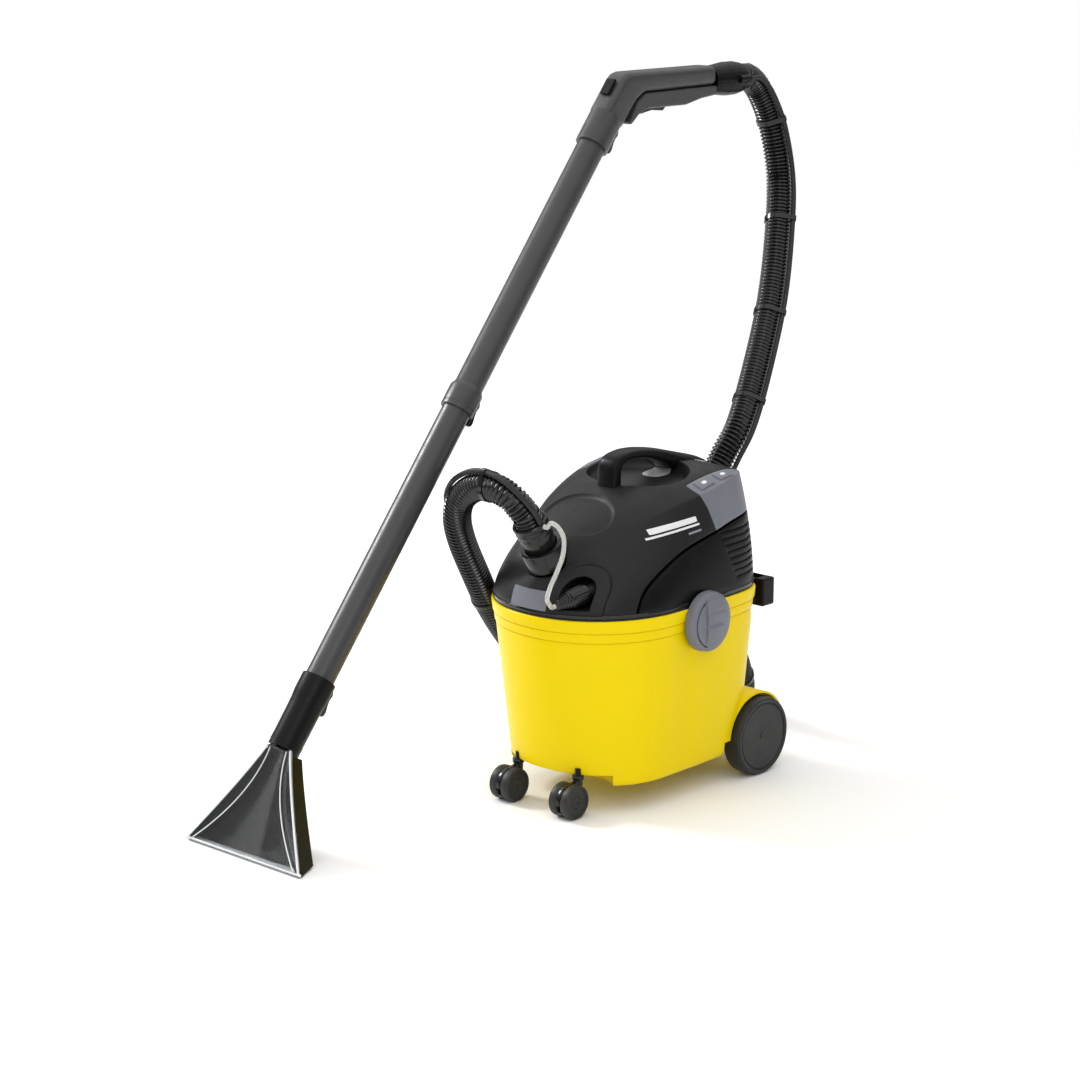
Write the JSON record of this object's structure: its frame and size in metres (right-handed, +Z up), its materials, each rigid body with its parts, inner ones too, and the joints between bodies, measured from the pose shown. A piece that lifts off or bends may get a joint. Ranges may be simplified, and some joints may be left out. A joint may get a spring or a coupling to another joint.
{
  "type": "spray extraction vacuum cleaner",
  "caption": "Wheeled wet vacuum and spray extraction cleaner: tank, lift-off motor head, suction hose with a spray line, two-part wand, bent grip and clear-fronted floor nozzle.",
  "frame": {"origin": "bottom centre of the box round every piece but the hoses, on the floor", "axes": "+Z up, -Y the machine's front, where the hose leaves and the wand's nozzle reaches, +X the side with the two buttons"},
  "size_m": [0.405, 1.0605, 0.9285],
  "materials": {
    "yellow_plastic": "moulded, semi-gloss",
    "dark_grey_plastic": "fine-grained moulded",
    "black_plastic": "fine-grained moulded",
    "blue_grey_plastic": "fine-grained moulded",
    "wheel_plastic": "moulded, semi-matte",
    "hose_plastic": "ribbed, semi-gloss",
    "clear_plastic": "polished clear",
    "white_plastic": "moulded",
    "orange_plastic": "moulded",
    "filter_paper": "pleated paper",
    "black_rubber": "moulded",
    "steel": "plain"
  },
  "bodies": {
    "container": {"container": "yellow_plastic", "waste_tank": "blue_grey_plastic", "rim_seal": "black_rubber", "rear_axle": "steel", "rear_bracket": "black_plastic", "latch_pin_left": "steel", "latch_pin_right": "steel"},
    "head": {"upper_shell": "dark_grey_plastic", "lower_shell": "black_plastic", "corner_panel_left": "blue_grey_plastic", "corner_panel_right": "blue_grey_plastic", "head_base": "black_plastic", "carry_handle": "black_plastic", "inlet_socket": "black_plastic", "hose_cuff": "black_plastic", "spray_socket": "black_plastic", "front_plate": "blue_grey_plastic", "cord_gland": "black_rubber", "motor_housing": "blue_grey_plastic", "pump_body": "black_plastic", "suction_pipe": "clear_plastic", "filter_frame": "orange_plastic", "pleated_filter": "filter_paper", "float_cage": "black_plastic", "suction_hose": "hose_plastic", "spray_line": "black_rubber", "spray_tube": "clear_plastic"},
    "wand": {"lower_tube": "dark_grey_plastic", "upper_tube": "dark_grey_plastic", "nozzle_neck": "black_plastic", "wand_spray_pipe": "clear_plastic", "nozzle_cover": "clear_plastic", "nozzle_body": "black_plastic", "spray_jet": "black_rubber", "grip_body": "dark_grey_plastic", "grip_cover": "dark_grey_plastic"},
    "suction_button": {"suction_button": "dark_grey_plastic"},
    "spray_button": {"spray_button": "dark_grey_plastic"},
    "coupling_collar": {"coupling_collar": "black_rubber"},
    "float_ball": {"float_ball": "white_plastic"},
    "motor_rotor": {"motor_rotor": "steel"},
    "pump_plunger": {"pump_plunger": "steel"},
    "spray_trigger": {"spray_trigger": "black_plastic"},
    "air_slider": {"air_slider": "black_plastic"},
    "hose_swivel": {"hose_swivel": "black_plastic"},
    "nozzle_lock": {"nozzle_lock": "black_plastic"},
    "tube_lock": {"tube_lock": "black_plastic"},
    "grip_lock": {"grip_lock": "black_plastic"},
    "latch_left": {"latch_left": "blue_grey_plastic"},
    "latch_right": {"latch_right": "blue_grey_plastic"},
    "rear_wheel_left": {"rear_wheel_left": "wheel_plastic"},
    "rear_wheel_right": {"rear_wheel_right": "wheel_plastic"},
    "castor_left": {"castor_fork_left": "black_plastic", "castor_axle_left": "steel"},
    "castor_wheel_left_inner": {"castor_wheel_left_inner": "wheel_plastic"},
    "castor_wheel_left_outer": {"castor_wheel_left_outer": "wheel_plastic"},
    "castor_right": {"castor_fork_right": "black_plastic", "castor_axle_right": "steel"},
    "castor_wheel_right_inner": {"castor_wheel_right_inner": "wheel_plastic"},
    "castor_wheel_right_outer": {"castor_wheel_right_outer": "wheel_plastic"}
  },
  "joints": [
    {"name": "castor_swivel_left", "type": "hinge", "parent": "container", "child": "castor_left", "pos_m": [-0.00799, -0.07079, 0.05], "axis": [0, 0, 1], "continuous": true},
    {"name": "castor_wheel_left_inner_spin", "type": "hinge", "parent": "castor_left", "child": "castor_wheel_left_inner", "pos_m": [-0.00799, -0.08879, 0.0225], "axis": [1, 0, 0], "continuous": true},
    {"name": "castor_wheel_left_outer_spin", "type": "hinge", "parent": "castor_left", "child": "castor_wheel_left_outer", "pos_m": [-0.00799, -0.08879, 0.0225], "axis": [1, 0, 0], "continuous": true},
    {"name": "rear_wheel_left_spin", "type": "hinge", "parent": "container", "child": "rear_wheel_left", "pos_m": [-0.07049, 0.21921, 0.0535], "axis": [1, 0, 0], "continuous": true},
    {"name": "latch_left_hinge", "type": "hinge", "parent": "container", "child": "latch_left", "pos_m": [-0.09799, 0.07921, 0.212], "axis": [0, -1, 0], "range_deg": [0, 60]},
    {"name": "castor_swivel_right", "type": "hinge", "parent": "container", "child": "castor_right", "pos_m": [0.09701, -0.07079, 0.05], "axis": [0, 0, 1], "continuous": true},
    {"name": "castor_wheel_right_inner_spin", "type": "hinge", "parent": "castor_right", "child": "castor_wheel_right_inner", "pos_m": [0.09701, -0.08879, 0.0225], "axis": [1, 0, 0], "continuous": true},
    {"name": "castor_wheel_right_outer_spin", "type": "hinge", "parent": "castor_right", "child": "castor_wheel_right_outer", "pos_m": [0.09701, -0.08879, 0.0225], "axis": [1, 0, 0], "continuous": true},
    {"name": "rear_wheel_right_spin", "type": "hinge", "parent": "container", "child": "rear_wheel_right", "pos_m": [0.15951, 0.21921, 0.0535], "axis": [1, 0, 0], "continuous": true},
    {"name": "latch_right_hinge", "type": "hinge", "parent": "container", "child": "latch_right", "pos_m": [0.18701, 0.07921, 0.212], "axis": [0, 1, 0], "range_deg": [0, 60]},
    {"name": "head_lift", "type": "slide", "parent": "container", "child": "head", "axis": [0, 0, 1], "range_m": [0, 0.1], "deforming": ["suction_hose", "spray_line"]},
    {"name": "wand_stroke", "type": "slide", "parent": "head", "child": "wand", "axis": [0, -1, 0], "range_m": [0, 0.15]},
    {"name": "suction_button_press", "type": "slide", "parent": "head", "child": "suction_button", "axis": [0, 0, -1], "range_m": [0, 0.0025], "stiffness_N_per_m": 300, "springref_m": -0.002},
    {"name": "spray_button_press", "type": "slide", "parent": "head", "child": "spray_button", "axis": [0, 0, -1], "range_m": [0, 0.0025], "stiffness_N_per_m": 300, "springref_m": -0.002},
    {"name": "collar_pull", "type": "slide", "parent": "head", "child": "coupling_collar", "axis": [0.3703, 0.8857, 0.2802], "range_m": [0, 0.003], "stiffness_N_per_m": 300, "springref_m": -0.002},
    {"name": "float_rise", "type": "slide", "parent": "head", "child": "float_ball", "axis": [0, 0, 1], "range_m": [0, 0.014]},
    {"name": "rotor_spin", "type": "hinge", "parent": "head", "child": "motor_rotor", "pos_m": [0.04451, 0.13921, 0.33], "axis": [0, 0, 1], "continuous": true},
    {"name": "plunger_stroke", "type": "slide", "parent": "head", "child": "pump_plunger", "axis": [0, 0, -1], "range_m": [0, 0.004], "stiffness_N_per_m": 500, "springref_m": -0.003},
    {"name": "trigger_squeeze", "type": "hinge", "parent": "wand", "child": "spray_trigger", "pos_m": [-0.09749, 0.25871, 0.8735], "axis": [1, 0, 0], "range_deg": [0, 4], "stiffness_Nm_per_rad": 0.4, "springref_deg": -2.86},
    {"name": "air_slide", "type": "slide", "parent": "wand", "child": "air_slider", "axis": [0, 0.632, 0.7749], "range_m": [0, 0.008]},
    {"name": "swivel_turn", "type": "hinge", "parent": "wand", "child": "hose_swivel", "pos_m": [-0.09749, 0.44921, 0.905], "axis": [0, 1, 0], "continuous": true},
    {"name": "nozzle_lock_lift", "type": "hinge", "parent": "wand", "child": "nozzle_lock", "pos_m": [-0.09749, -0.34533, 0.15478], "axis": [-1, 0, 0], "range_deg": [0, 12], "stiffness_Nm_per_rad": 0.3, "springref_deg": -2.86},
    {"name": "tube_lock_lift", "type": "hinge", "parent": "wand", "child": "tube_lock", "pos_m": [-0.09749, -0.07482, 0.48646], "axis": [-1, 0, 0], "range_deg": [0, 12], "stiffness_Nm_per_rad": 0.3, "springref_deg": -2.86},
    {"name": "grip_lock_lift", "type": "hinge", "parent": "wand", "child": "grip_lock", "pos_m": [-0.09749, 0.19696, 0.81969], "axis": [-1, 0, 0], "range_deg": [0, 12], "stiffness_Nm_per_rad": 0.3, "springref_deg": -2.86}
  ]
}
